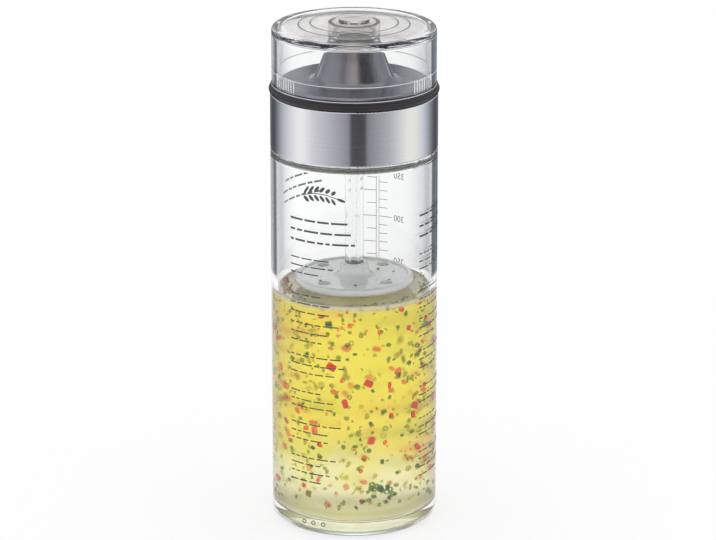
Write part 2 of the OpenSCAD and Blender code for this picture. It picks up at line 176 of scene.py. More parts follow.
def clear_solid(name, ior, ripple, taken, crown=None):
    """Clear glass or plastic with slow waves; taken is the share of red, green and blue lost over 30 mm.

    Over the level crown, in millimetres, its top is painted a little grey-beige: painted shade that stands for the dim
    reflections in the top plate.
    """
    made, tree = material(name)
    waves = add(tree, "TexNoise", {"Vector": place_mm(tree), "Scale": 0.12, "Detail": 1.0})
    tone = add(tree, "ValToRGB", {"Fac": waves}, stops=[(0.3, "#FEFFFF"), (0.7, "#FFFFFF")])
    if crown:
        parts = add(tree, "SeparateXYZ", {"Vector": place_mm(tree)}).outputs
        flat = add(tree, "CombineXYZ", {"X": parts["X"], "Y": parts["Y"]})
        radius = add(tree, "VectorMath", {0: flat}, operation="LENGTH").outputs["Value"]
        inside = add(tree, "MapRange", {"Value": radius, "From Min": 28.0, "From Max": 26.0})
        over = add(tree, "MapRange", {"Value": parts["Z"], "From Min": crown - 1.0, "From Max": crown + 1.0})
        over = add(tree, "Math", {0: over, 1: inside}, operation="MULTIPLY")
        # Painted shade: grey-beige over the crown, for the reflections that dim the top plate
        painted_shade = add(tree, "ValToRGB", {"Fac": waves}, stops=[(0.3, "#D2CFCC"), (0.7, "#E4E2E0")])
        tone = add(tree, "Mix", {"Factor": over, "A": tone, "B": painted_shade}, data_type="RGBA")
    shader = add(tree, "BsdfPrincipled", {
        "Base Color": tone,
        "Roughness": 0.0, "IOR": ior, "Transmission Weight": 1.0,
        "Normal": add(tree, "Bump", {"Height": waves, "Distance": ripple}),
    })
    loss = [-math.log(1 - share) / (30 * MM) for share in taken]
    colour = [1 - part / max(loss) for part in loss] + [1.0]
    body = add(tree, "VolumeAbsorption", {"Color": colour, "Density": max(loss)})
    add(tree, "OutputMaterial", {"Surface": shader, "Volume": body})
    return made


def brushed_steel(name, dark, pale, depth_mm):
    """Stainless sheet brushed while it turned: each fine ring spreads light up and down its face."""
    made, tree = material(name)
    parts = add(tree, "SeparateXYZ", {"Vector": place_mm(tree)})
    flat = add(tree, "CombineXYZ", {"X": parts.outputs["X"], "Y": parts.outputs["Y"]})
    radius = add(tree, "VectorMath", {0: flat}, operation="LENGTH").outputs["Value"]
    across = add(tree, "Math", {0: parts.outputs["Z"], 1: radius}, operation="SUBTRACT")
    ring = add(tree, "CombineXYZ", {"X": parts.outputs["X"], "Y": parts.outputs["Y"], "Z": across})
    # Brush lines are about 0.05 mm wide, and are drawn 0.2 mm wide and 25 mm long so that they show
    line = add(tree, "Mapping", {"Vector": ring, "Scale": (0.04, 0.04, 5.0)})
    grain = add(tree, "TexNoise", {"Vector": line, "Scale": 1.0, "Detail": 3.0, "Roughness": 0.6})
    shader = add(tree, "BsdfPrincipled", {
        "Base Color": add(tree, "ValToRGB", {"Fac": grain}, stops=[(0.3, dark), (0.7, pale)]),
        "Metallic": 1.0,
        "Roughness": add(tree, "MapRange", {"Value": grain, "To Min": 0.15, "To Max": 0.2}),
        "Anisotropic": 0.8, "Anisotropic Rotation": 0.25,
        "Tangent": add(tree, "Tangent", direction_type="RADIAL", axis="Z"),
        "Normal": add(tree, "Bump", {"Height": grain, "Distance": depth_mm * MM}),
    })
    add(tree, "OutputMaterial", {"Surface": shader})
    return made


def moulded(name, dark, pale, rough, grain_mm, depth_mm, **extra):
    """Moulded plastic or rubber: slight changes of tone, and an uneven skin that breaks its shine."""
    made, tree = material(name)
    where = place_mm(tree)
    skin = add(tree, "TexNoise", {"Vector": where, "Scale": 1 / grain_mm, "Detail": 3.0})
    tone = add(tree, "TexNoise", {"Vector": where, "Scale": 0.08})
    sockets = {
        "Base Color": add(tree, "ValToRGB", {"Fac": tone}, stops=[(0.35, dark), (0.65, pale)]),
        "Roughness": add(tree, "MapRange", {
            "Value": skin, "From Min": 0.3, "From Max": 0.7, "To Min": rough[0], "To Max": rough[1],
        }),
        "Normal": add(tree, "Bump", {"Height": skin, "Distance": depth_mm * MM}),
    }
    sockets.update(extra)
    add(tree, "OutputMaterial", {"Surface": add(tree, "BsdfPrincipled", sockets)})
    return made


def hexed(colour):
    """sRGB hex code of a linear colour."""
    parts = [12.92 * c if c <= 0.0031308 else 1.055 * c ** (1 / 2.4) - 0.055 for c in colour]
    return "#" + "".join(f"{round(255 * min(max(c, 0), 1)):02X}" for c in parts)


class SHAKER_OT_finishes(bpy.types.Operator):
    """Give each moulded, pressed and drawn piece its finish"""

    bl_idname = "shaker.finishes"
    bl_label = "Finishes"

    def execute(self, context):
        settings = context.scene.shaker_finish
        # Pressed soda-lime glass: clear, faint green where it is thick, with slow waves in its wall
        dress(clear_solid("Pressed soda-lime glass", 1.5, settings.ripple, (0.03, 0.005, 0.015)), "glass_bottle")
        # Clear polymer with a polished skin: clearer than glass, and bends light a little less
        # Its top plate, over 194.5 mm, is painted grey-beige: painted shade
        dress(clear_solid("Polished clear polymer", 1.45, 0.004 * MM, (0.02, 0.01, 0.005), 194.5), "clear_lid")
        steel = hexed(settings.steel)
        dress(brushed_steel("Brushed stainless steel", hexed([0.93 * c for c in settings.steel]), steel, 0.0012), "steel_band")
        # The spout under the lid is painted a darker grey than the band: painted shade for the dark surround that it
        # mirrors
        dress(brushed_steel("Spun stainless steel painted in shade", "#8E8F96", "#9A9BA2", 0.0002), "spout_cover")
        # Silicone rubber, satin and near black, a little brown where light grazes it
        dress(moulded("Black silicone rubber", "#1B1718", "#262021", (0.35, 0.5), 0.6, 0.01), "dark_ring")
        dress(moulded("Pale moulded polypropylene", "#B9BDB2", "#C6C9BF", (0.4, 0.55), 0.5, 0.01), "threaded_collar")
        white = moulded("White moulded polypropylene", "#EEEEEA", "#F8F8F6", (0.3, 0.45), 0.8, 0.01)
        dress(white, "spout_liner", "rod_holder")
        # Milky polypropylene: white through and through, under a polished skin that shines
        milky = {"Coat Weight": 1.0, "Coat Roughness": 0.08, "Coat IOR": 1.6, "IOR": 1.49}
        disc = moulded("Milky moulded polypropylene", "#FCFDFD", "#FFFFFF", (0.25, 0.4), 3.0, 0.02, **milky)
        dress(disc, "mixing_disc", "disc_cap")
        clear = {"Transmission Weight": 1.0, "IOR": 1.4}
        dress(moulded("Translucent drawn tube", "#FAFCFC", "#FFFFFF", (0.04, 0.14), 2.0, 0.003, **clear), "mixing_rod")
        plug = {"Transmission Weight": 1.0, "IOR": 1.15}
        dress(moulded("Clear moulded plug", "#FCFDFD", "#FFFFFF", (0.0, 0.06), 4.0, 0.004, **plug), "lid_plug")
        dress(moulded("Pale silicone rubber", "#D9D9D5", "#E6E6E2", (0.4, 0.55), 0.6, 0.01), "neck_gasket", "plug_seal")
        return {"FINISHED"}


# Dressing


class DressingSettings(bpy.types.PropertyGroup):
    level: FloatProperty(
        name="Level", description="Height of the dressing's surface above the table", default=94.3 * MM, unit="LENGTH"
    )
    oil: FloatVectorProperty(
        name="Oil", description="Colour of light that has crossed the whole bottle", default=linear("#FEFADC")[:3],
        subtype="COLOR", size=3,
    )
    herbs: IntProperty(name="Herbs", description="Number of chopped herbs and peppers", default=1250)
    seed: IntProperty(name="Seed", description="Seed of the scattered herbs", default=7)


def cavity_profile(top, inset):
    """Profile of the glass cavity up to a level in millimetres, drawn in by inset, or out where it is negative."""
    middle = Vector((0, 0, 16 * MM))
    profile = []
    for i in range(31):
        angle = math.radians(-90 + 3 * i)
        way = Vector((math.cos(angle), 0, math.sin(angle)))
        hit, place, _, _ = NODES["glass_bottle"].ray_cast(middle, way)
        if not hit:
            raise RuntimeError("the glass has no floor or wall here")
        place = (place - way * inset * MM) / MM
        profile.append((max(place.x, 0.0), place.z))
    profile.append((profile[-1][0], top))
    return profile


def oil_and_vinegar(oil, top):
    """Olive oil whipped with vinegar: clear near the glass, and yellow by the light that it takes away."""
    made, tree = material("Whipped oil and vinegar")
    where = place_mm(tree)
    stir = add(tree, "TexNoise", {"Vector": where, "Scale": 0.07, "Detail": 2.0})
    level = add(tree, "SeparateXYZ", {"Vector": where}).outputs["Z"]
    # The lowest 20 mm is painted paler, painted light from the table under it, and the top is whitened as froth, partly
    # a painted highlight of the bright surface
    height = add(tree, "MapRange", {"Value": level, "From Max": 46.0, "To Min": -0.5, "To Max": 0.6})
    stir_and_painted_light = add(tree, "Math", {0: height, 1: stir})
    body = add(tree, "ValToRGB", {"Fac": stir_and_painted_light}, stops=[
        (0.3, "#FFFFFF"), (0.52, "#FFFEE6"), (0.78, "#FFF684"), (0.96, "#FFF260"),
    ])
    # Froth at the top, also painted whiter as a highlight of the surface's sheen
    froth = add(tree, "MapRange", {"Value": level, "From Min": top - 2.4, "From Max": top - 0.1})
    shader = add(tree, "BsdfPrincipled", {
        "Base Color": add(tree, "Mix", {"Factor": froth, "A": body, "B": linear("#FFFEF6")}, data_type="RGBA"),
        "Roughness": 0.0, "IOR": 1.46, "Transmission Weight": add(tree, "MapRange", {
            "Value": froth, "To Min": 1.0, "To Max": 0.45,
        }),
    })
    # Light that crosses the whole bottle, 60 mm, comes out in the oil's colour
    loss = [-math.log(min(max(c, 0.01), 0.99)) / (60 * MM) for c in oil]
    colour = [1 - part / max(loss) for part in loss] + [1.0]
    loss = add(tree, "VolumeAbsorption", {"Color": colour, "Density": max(loss)})
    add(tree, "OutputMaterial", {"Surface": shader, "Volume": loss})
    return made


def mustard_cloud():
    """Fine mustard in the middle of the oil: it lets light through but blurs what stands behind it."""
    made, tree = material("Cloud of mustard")
    cloud = add(tree, "TexNoise", {"Vector": place_mm(tree), "Scale": 0.12, "Detail": 3.0})
    shader = add(tree, "BsdfPrincipled", {
        "Base Color": add(tree, "ValToRGB", {"Fac": cloud}, stops=[(0.3, "#FFFBDC"), (0.7, "#FFFEF0")]),
        "Roughness": add(tree, "MapRange", {
            "Value": cloud, "From Min": 0.3, "From Max": 0.7, "To Min": 0.5, "To Max": 0.75,
        }),
        "IOR": 1.12, "Transmission Weight": 1.0,
    })
    add(tree, "OutputMaterial", {"Surface": shader})
    return made


class SHAKER_OT_dressing(bpy.types.Operator):
    """Pour the dressing into the bottle"""

    bl_idname = "shaker.dressing"
    bl_label = "Dressing"

    def execute(self, context):
        settings = context.scene.shaker_dressing
        level = settings.level / MM
        # The dressing reaches a hair into the glass, so that no air shows between them
        profile = cavity_profile(level + 1.1, -0.1)
        edge = profile[-1][0]
        climb = [(edge - s, level + 1.1 * math.exp(-s / 0.9)) for s in (0.15, 0.4, 0.8, 1.4, 2.2, 3.4)]
        bm = lathe(profile + climb + [(0, level)])
        piece("dressing", bm, oil_and_vinegar(settings.oil, level))
        # The cloud lies 1.2 mm over the floor of the glass, keeps 7 mm from its wall and narrows under the surface
        wide = cavity_profile(level - 8, 7.0)[-1][0]
        outline = [(r, z) for r, z in cavity_profile(level - 8, 1.2) if r < wide]
        outline += [(wide, outline[-1][1] + 0.5), (wide, level - 8)]
        outline += [(wide - 2, level - 3.5), (wide - 7, level - 2), (0, level - 2)]
        piece("mustard_cloud", lathe(outline, 96), mustard_cloud())
        return {"FINISHED"}


# Herbs


def chopped(name, deep, mid, bright, rough, **extra):
    """Cut plant tissue that light soaks through: each bit has its own tone, and small spots of moisture."""
    made, tree = material(name)
    tone = add(tree, "Attribute", attribute_name="tone").outputs["Fac"]
    spots = add(tree, "TexNoise", {"Vector": place_mm(tree), "Scale": 1.6})
    shade = add(tree, "Math", {0: tone, 1: add(tree, "MapRange", {"Value": spots, "To Min": -0.2, "To Max": 0.2})})
    sockets = {
        "Base Color": add(tree, "ValToRGB", {"Fac": shade}, stops=[(0.1, deep), (0.55, mid), (0.95, bright)]),
        "Roughness": rough, "IOR": 1.04, "Transmission Weight": 0.93,
        "Normal": add(tree, "Bump", {"Height": spots, "Distance": 0.08 * MM}),
    }
    sockets.update(extra)
    add(tree, "OutputMaterial", {"Surface": add(tree, "BsdfPrincipled", sockets)})
    return made


def chive_ring():
    """Slice of a hollow chive, 2 across and 1.2 long."""
    bm = bmesh.new()
    bmesh.ops.create_circle(bm, segments=9, radius=1)
    raised = bmesh.ops.extrude_edge_only(bm, edges=bm.edges[:])["geom"]
    verts = [part for part in raised if isinstance(part, bmesh.types.BMVert)]
    bmesh.ops.translate(bm, vec=(0, 0, 1.2), verts=verts)
    bmesh.ops.recalc_face_normals(bm, faces=bm.faces)
    bmesh.ops.solidify(bm, geom=bm.faces[:], thickness=0.35)
    return bm


def leaf_flake(draw):
    """Torn flake of a leaf, 2 long, 1.2 wide and thin, with an uneven edge and a slight curl."""
    bm = bmesh.new()
    bmesh.ops.create_circle(bm, cap_ends=True, segments=7, radius=1)
    for vert in bm.verts:
        vert.co *= draw.uniform(0.75, 1.15)
    bmesh.ops.scale(bm, vec=(1, 0.62, 1), verts=bm.verts)
    raised = bmesh.ops.extrude_face_region(bm, geom=bm.faces[:])["geom"]
    verts = [part for part in raised if isinstance(part, bmesh.types.BMVert)]
    bmesh.ops.translate(bm, vec=(0, 0, 0.22), verts=verts)
    for vert in bm.verts:
        vert.co.z += 0.25 * vert.co.x ** 2
    bmesh.ops.recalc_face_normals(bm, faces=bm.faces)
    return bm


def pepper_dice(draw):
    """Small cut of red pepper, 2 long and wide and 1.1 thick, with blunt edges."""
    bm = bmesh.new()
    bmesh.ops.create_cube(bm, size=2)
    bmesh.ops.scale(bm, vec=(1, 0.8, 0.55), verts=bm.verts)
    for vert in bm.verts:
        vert.co *= draw.uniform(0.8, 1.12)
    bmesh.ops.bevel(
        bm, geom=bm.edges[:], offset=0.22, affect="EDGES", segments=1, profile=0.5, material=-1, clamp_overlap=True
    )
    return bm


def soft_crumb(draw, uneven=0.25):
    """Rounded crumb of spice, 2 across, and uneven by a share of its size."""
    bm = bmesh.new()
    bmesh.ops.create_icosphere(bm, subdivisions=1, radius=1)
    for vert in bm.verts:
        vert.co *= draw.uniform(1 - uneven, 1 + uneven)
    bmesh.ops.scale(bm, vec=(1, 1 - uneven, 1 - 1.6 * uneven), verts=bm.verts)
    return bm


def strewn(name, bm, made, bits, body="bottle"):
    """Joins copies of one small shape, each with its own place, turn, size and tone, into one piece."""
    tone = bm.verts.layers.float.new("tone")
    shape = bm.verts[:] + bm.edges[:] + bm.faces[:]
    first = bm.verts[:]
    for place, turn, size, shade in bits:
        fresh = bmesh.ops.duplicate(bm, geom=shape)["geom"]
        verts = [part for part in fresh if isinstance(part, bmesh.types.BMVert)]
        for vert in verts:
            vert[tone] = shade
        bmesh.ops.transform(bm, matrix=Matrix.LocRotScale(place, turn, size), verts=verts)
    bmesh.ops.delete(bm, geom=first, context="VERTS")
    return piece(name, bm, made, body=body)


def tumbled(draw):
    """Random turn in space."""
    return Euler([draw.uniform(0, 2 * math.pi) for _ in range(3)])


def hanging(draw, low, high, depth):
    """Random place in the dressing between two levels, at most depth in from the wall, and mostly near it."""
    level = draw.uniform(low, high)
    azimuth = draw.uniform(-180, 180)
    return at(azimuth, wall(level, azimuth) - 1.6 - (depth - 1.6) * draw.random() ** 1.5, level)


def bits(draw, count, low, high, depth, sizes, tones):
    """Places, turns, sizes in metres and tones of a number of bits that hang in the dressing."""
    made = []
    for _ in range(count):
        size = draw.uniform(*sizes) * MM
        made.append((hanging(draw, low, high, depth), tumbled(draw), Vector((size, size, size)), draw.uniform(*tones)))
    return made


class SHAKER_OT_herbs(bpy.types.Operator):
    """Scatter chopped chives, leaves, peppers and spice through the dressing"""

    bl_idname = "shaker.herbs"
    bl_label = "Herbs"

    def execute(self, context):
        settings = context.scene.shaker_dressing
        draw = random.Random(settings.seed)
        level = settings.level / MM
        share = settings.herbs / 100
        floor = 9.0
        # Under the disc's travel the bits keep to the wall, so that the disc passes them
        clear = level - 13
        rim = GLASS_R - 2.5 - DISC_R - 2.2

        # Chives: cut rings, dark green outside and paler inside
        green = chopped("Chopped chives", "#82A830", "#AECA44", "#DCEC80", 0.35)
        chives = bits(draw, round(20 * share), floor, clear, 10, (0.55, 1.15), (0, 0.9))
        chives += bits(draw, round(6 * share), clear, level - 1, rim, (0.5, 0.85), (0, 0.7))
        # The ones that stand out in front: one under the surface, and a cluster near the floor
        chives.append((at(-21.7, 28.2, 87.2), Euler((0.2, 1.5, 0.4)), Vector((1.15, 1.0, 1.9)) * MM, 0.1))
        for i in range(11):
            place = at(12.5 + 1.7 * i, 28.3 - 0.3 * (i % 3), 20.5 - 0.35 * i + 1.6 * (i % 2))
            chives.append((place, tumbled(draw), Vector((1.05, 1.05, 1.25)) * MM, 0.05 * (i % 4)))
        for i in range(9):
            place = at(2 + 4.4 * i, 27.6, 12.6 + 1.3 * (i % 4))
            chives.append((place, tumbled(draw), Vector((0.75, 0.75, 0.7)) * MM, 0.15 * (i % 3)))
        strewn("chive_rings", chive_ring(), green, chives)

        # Parsley and basil: flakes from dark to olive green
        leaf = chopped("Chopped leaves", "#6E9A14", "#B0BC2C", "#E4E058", 0.45)
        flakes = bits(draw, round(20 * share), floor, clear, 12, (0.6, 1.3), (0, 1))
        flakes += bits(draw, round(6 * share), clear, level - 0.6, rim, (0.5, 1.2), (0, 0.9))
        # They gather on the right, by the wall
        for _ in range(90):
            level_here, azimuth = draw.uniform(14, level - 2), draw.uniform(42, 100)
            size = draw.uniform(0.5, 1.1) * MM
            place = at(azimuth, wall(level_here, azimuth) - draw.uniform(1.4, 2.4), level_here)
            flakes.append((place, tumbled(draw), Vector((size, size, size)), draw.uniform(0, 0.8)))
        strewn("leaf_flakes", leaf_flake(draw), leaf, flakes)

        # Red pepper: wet cut flesh, from deep red skin to pink
        red = chopped("Chopped red pepper", "#F00018", "#FF3C28", "#FFA080", 0.25)
        peppers = bits(draw, round(4 * share), floor, clear, 12, (0.8, 1.7), (0.1, 1))
        peppers += bits(draw, round(1.5 * share), clear, level - 1, rim, (0.7, 1.1), (0.2, 1))
        for azimuth, height, size in ((-17.5, 69.9, 1.75), (11.0, 63.4, 1.6), (38.0, 92.0, 1.1), (52.0, 51.0, 1.5)):
            place = at(azimuth, 28.0, height)
            peppers.append((place, Euler((1.35, 0.5, math.radians(azimuth))), Vector((size, size, size)) * MM, 0.05))
        strewn("pepper_dice", pepper_dice(draw), red, peppers)

        # Spice and garlic: crumbs that the haze turns to soft orange, pink and olive
        warm = chopped("Crumbs of spice", "#FF8A4A", "#FFAE7C", "#FFC8A8", 0.6)
        crumbs = bits(draw, round(10 * share), floor, clear, 14, (0.6, 1.9), (0, 1))
        crumbs += bits(draw, round(3 * share), clear, level - 1, rim, (0.5, 1.1), (0, 1))
        strewn("spice_crumbs", soft_crumb(draw), warm, crumbs)
        olive = chopped("Crumbs of olive", "#B0B030", "#CCC848", "#E8E070", 0.6)
        crumbs = bits(draw, round(20 * share), floor, clear, 15, (0.5, 1.6), (0, 1))
        strewn("olive_crumbs", soft_crumb(draw), olive, crumbs)

        # What floats on the surface, clings to the wall over it and lies on the disc
        afloat = []
        for _ in range(80):
            place = at(draw.uniform(-180, 180), draw.uniform(DISC_R + 1.2, GLASS_R - 4.6), level + 0.1)
            size = draw.uniform(0.5, 1.0) * MM
            turn = Euler((draw.uniform(-0.2, 0.2), draw.uniform(-0.2, 0.2), draw.uniform(0, 6)))
            afloat.append((place, turn, Vector((size, size, size)), draw.uniform(0, 1)))
        # Flakes gather at the wall on one side, and crumbs of spice on the other
        for _ in range(22):
            place = at(draw.uniform(55, 105), draw.uniform(26.5, 28.6), level + draw.uniform(0, 4.5))
            size = draw.uniform(0.4, 0.9) * MM
            afloat.append((place, tumbled(draw), Vector((size, size, size)), draw.uniform(0, 0.9)))
        strewn("floating_flakes", leaf_flake(draw), leaf, afloat)
        clung = []
        for _ in range(20):
            place = at(draw.uniform(-100, -58), draw.uniform(26.0, 28.6), level + draw.uniform(0, 3.5))
            size = draw.uniform(0.5, 1.2) * MM
            clung.append((place, tumbled(draw), Vector((size, size, size)), draw.uniform(0, 0.8)))
        strewn("clinging_crumbs", soft_crumb(draw), chopped("Wet crumbs of spice", "#CC8C70", "#E0B094", "#F4D4BC", 0.5), clung)

        # Small bubbles of froth on the surface by the wall
        film = {"Transmission Weight": 0.8, "IOR": 1.2}
        froth = moulded("Froth", "#FAF8F0", "#FFFFFF", (0.0, 0.1), 0.5, 0.01, **film)
        foam = []
        for _ in range(16):
            place = at(draw.uniform(-29, -19), draw.uniform(27.0, 28.4), level + 0.3)
            foam.append((place, tumbled(draw), Vector((1, 1, 0.8)) * draw.uniform(0.35, 0.7) * MM, 0.5))
        for _ in range(150):
            place = at(draw.uniform(-180, 180), draw.uniform(DISC_R + 0.8, GLASS_R - 3.4), level + 0.1)
            foam.append((place, tumbled(draw), Vector((1, 1, 0.8)) * draw.uniform(0.15, 0.4) * MM, 0.5))
        strewn("froth", soft_crumb(draw, 0.08), froth, foam)

        # A few flakes lie on the disc
        resting = []
        for x, y in ((0.5, -15.5), (-9.0, 4.0), (9.5, 6.0), (13.5, -8.0), (-13.0, -9.5), (15.5, 3.0)):
            hit, place, _, _ = NODES["mixing_disc"].ray_cast(Vector((x, y, 140)) * MM, Vector((0, 0, -1)))
            if not hit:
                raise RuntimeError("there is no disc under this flake")
            size = draw.uniform(0.6, 1.0) * MM
            turn = Euler((0, 0, draw.uniform(0, 6)))
            resting.append((place, turn, Vector((size, size, size)), draw.uniform(0, 0.6)))
        strewn("disc_flakes", leaf_flake(draw), leaf, resting, body="mixer")
        return {"FINISHED"}


# Print and marks


class PrintSettings(bpy.types.PropertyGroup):
    ink: FloatVectorProperty(
        name="Ink", description="Colour of the printed scale", default=linear("#4C4C4A")[:3], subtype="COLOR", size=3
    )
    zero: FloatProperty(
        name="Zero", description="Height of the scale's zero above the table", default=7.9 * MM, unit="LENGTH"
    )
    per_ml: FloatProperty(
        name="Height per ml", description="Height of one millilitre in the bore", default=0.35368 * MM, unit="LENGTH"
    )
    ink_depth: FloatProperty(
        name="Ink depth", description="Thickness of the printed ink", default=0.04 * MM, unit="LENGTH", precision=5
    )


def ink_finish(name, colour):
    """Screen-printed ceramic ink, fired on the glass: matt, with the fine mesh of the screen in it."""
    made, tree = material(name)
    mesh = add(tree, "TexNoise", {"Vector": place_mm(tree), "Scale": 6.0, "Detail": 1.0})
    pale = hexed([min(1.2 * c, 1) for c in colour])
    shader = add(tree, "BsdfPrincipled", {
        "Base Color": add(tree, "ValToRGB", {"Fac": mesh}, stops=[(0.35, hexed(colour)), (0.7, pale)]),
        "Roughness": add(tree, "MapRange", {"Value": mesh, "To Min": 0.5, "To Max": 0.7}),
    })
    add(tree, "OutputMaterial", {"Surface": shader})
    return made


def bar(bm, x0, x1, y0, y1, depth):
    """Adds a flat bar of ink in millimetres, cut along its length so that it bends with the glass."""
    cuts = max(1, math.ceil((x1 - x0) / 1.5))
    grid = bmesh.ops.create_grid(bm, x_segments=cuts, y_segments=1, size=0.5)["verts"]
    faces = list({face for vert in grid for face in vert.link_faces})
    raised = bmesh.ops.extrude_face_region(bm, geom=faces)["geom"]
    top = [part for part in raised if isinstance(part, bmesh.types.BMVert)]
    bmesh.ops.translate(bm, vec=(0, 0, 1), verts=top)
    bmesh.ops.reverse_faces(bm, faces=faces)
    bmesh.ops.transform(
        bm, matrix=Matrix.LocRotScale(Vector(((x0 + x1) / 2, (y0 + y1) / 2, 0)), None, (x1 - x0, y1 - y0, depth)),
        verts=grid + top,
    )


def wrap(bm, azimuth, level=0.0, radius=GLASS_R):
    """Bends a flat bmesh in millimetres round the glass: x runs round it, y up and z outwards."""
    for vert in bm.verts:
        x, y, z = vert.co
        vert.co = at(azimuth + math.degrees(x / radius), radius + 0.01 + z, level + y)


def numeral(bm, text, height, x, y, depth):
    """Adds a number in millimetres, centred on x and y."""
    curve = bpy.data.curves.new("numeral", "FONT")
    curve.body = text
    curve.size = height / 0.7
    curve.extrude = depth / 2
    curve.resolution_u = 3
    curve.align_x = "CENTER"
    shown = bpy.data.objects.new("numeral", curve)
    mesh = bpy.data.meshes.new_from_object(shown)
    bpy.data.objects.remove(shown)
    bpy.data.curves.remove(curve)
    mesh.transform(Matrix.Translation((x, y - height / 2, depth / 2)))
    bm.from_mesh(mesh)
    bpy.data.meshes.remove(mesh)


# Levels of the rows of dashes that stand for the printed lines, in millimetres: a heading, then seven groups
HEADING = (128.8, 124.5, 120.4)
ROWS = (
    (113.3, 110.2, 107.3), (98.5, 95.0, 91.5), (87.0, 83.3, 79.9), (73.8, 70.3, 66.9),
    (59.1, 55.7, 52.9), (46.0, 42.5, 39.4), (32.1, 29.3, 25.8, 22.3),
)


def dash_row(bm, draw, level, width, height, depth):
    """Adds a row of dashes as long as words, from x 0 to about width."""
    x = 0.0
    while x < width - 1.5:
        end = min(x + draw.choice((1.8, 2.6, 3.6, 4.8, 6.4)), width)
        bar(bm, x, end, level - height / 2, level + height / 2, depth)
        x = end + 0.9


class SHAKER_OT_print(bpy.types.Operator):
    """Print the scale, a sprig and rows of dashes on the glass"""

    bl_idname = "shaker.print"
    bl_label = "Print"

    def execute(self, context):
        settings = context.scene.shaker_print
        draw = random.Random(11)
        depth = settings.ink_depth / MM
        ink = ink_finish("Grey ceramic ink", settings.ink)

        # Scale at the back: millilitres to one side of a double line and half ounces to the other
        bm = bmesh.new()
        zero = settings.zero / MM
        step = settings.per_ml / MM
        for x in (-0.6, 0.6):
            bar(bm, x - 0.1, x + 0.1, zero + 45 * step, zero + 355 * step, depth)
        for ml in range(50, 351, 10):
            y = zero + ml * step
            long = 6.0 if ml % 100 == 0 else 4.9 if ml % 50 == 0 else 3.9
            bar(bm, -0.6 - long, -0.6, y - 0.11, y + 0.11, depth)
            if ml % 50 == 0:
                numeral(bm, str(ml), 2.6, -10.2, y, depth)
        for half in range(4, 24):
            y = zero + 15 * half * step
            bar(bm, 0.6, 6.5 if half % 2 == 0 else 4.6, y - 0.11, y + 0.11, depth)
        wrap(bm, 162.3)
        piece("printed_scale", bm, ink)

        # Columns of dashes in place of the printed lines
        for name, azimuth, lift, groups in (("front", -48.7, 0, ROWS), ("right", 50.8, 0, ROWS), ("back", 205.0, 4.5, ())):
            bm = bmesh.new()
            for level in HEADING:
                dash_row(bm, draw, level + lift, draw.uniform(24, 29), 0.8, depth)
            for group in groups:
                for level in group:
                    dash_row(bm, draw, level, draw.uniform(14, 24), 0.5, depth)
            wrap(bm, azimuth)
            piece(name + "_dashes", bm, ink)

        # Sprig over the front column: a bowed stem with a leaf at its tip and pairs of leaves along it
        bm = bmesh.new()
        stem = 15.5
        bar(bm, 0, stem, -0.16, 0.16, depth)
        for i in range(6):
            for side in (-1, 1):
                leaf = bmesh.ops.create_circle(bm, cap_ends=True, segments=16, radius=1)["verts"]
                bmesh.ops.transform(
                    bm, verts=leaf,
                    matrix=Matrix.LocRotScale(
                        Vector((2.2 + 2.3 * i, side * 1.75, 0)), Euler((0, 0, side * 0.85)), (1.75 - 0.1 * i, 0.62, 1)
                    ),
                )
        tip = bmesh.ops.create_circle(bm, cap_ends=True, segments=16, radius=1)["verts"]
        bmesh.ops.transform(bm, verts=tip, matrix=Matrix.LocRotScale(Vector((stem + 1.2, 0, 0)), None, (1.7, 0.6, 1)))
        flat = [face for face in bm.faces if len(face.verts) > 4]
        raised = bmesh.ops.extrude_face_region(bm, geom=flat)["geom"]
        bmesh.ops.translate(bm, vec=(0, 0, depth), verts=[p for p in raised if isinstance(p, bmesh.types.BMVert)])
        bmesh.ops.reverse_faces(bm, faces=flat)
        for vert in bm.verts:
            vert.co.y += 1.6 * math.sin(math.pi * vert.co.x / stem)
        bmesh.ops.translate(bm, vec=(-stem / 2, 0, 0), verts=bm.verts)
        wrap(bm, -24.5, 138.6)
        piece("printed_sprig", bm, ink)
        return {"FINISHED"}


class SHAKER_OT_edges(bpy.types.Operator):
    """Draw the matt lines that the mould leaves round the lid"""
    # Draw pale rings on the lid's step and bottom edge as painted highlights, and two steps round its top plate

    bl_idname = "shaker.edges"
    bl_label = "Lid edges"

    def execute(self, context):
        # Painted highlight: pale matt rings stand for the bright lines along the lid's step and bottom edge
        frosted = moulded("Pale line painted as a highlight", "#D4D8DC", "#E4E6EA", (0.4, 0.6), 1.0, 0.01)
        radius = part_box("clear_lid")[1].x / MM
        for name, level, height in (("lid_step", 182.4, 0.22), ("lid_edge", 176.62, 0.3)):
            low, high = level - height / 2, level + height / 2
            outline = [(radius - 0.04, low), (radius + 0.03, low), (radius + 0.03, high), (radius - 0.04, high)]
            piece(name, lathe(outline + outline[:1]), frosted, body="lid")
        # Two steps of the mould run round its top plate
        worn = {"Transmission Weight": 0.6, "IOR": 1.2}
        frosted = moulded("Frosted moulding step", "#9C9EA2", "#ACAEB2", (0.4, 0.6), 1.0, 0.01, **worn)
        for i, ring in enumerate((17.0, 21.5)):
            hit, place, _, _ = NODES["clear_lid"].ray_cast(Vector((ring, 0, 220)) * MM, Vector((0, 0, -1)))
            if not hit:
                raise RuntimeError("the lid has no plate here")
            top = place.z / MM
            low, high = top - 0.05, top + 0.03
            outline = [(ring - 0.25, low), (ring + 0.25, low), (ring + 0.25, high), (ring - 0.25, high)]
            piece(f"plate_step_{i + 1}", lathe(outline + outline[:1]), frosted, body="lid")
        return {"FINISHED"}


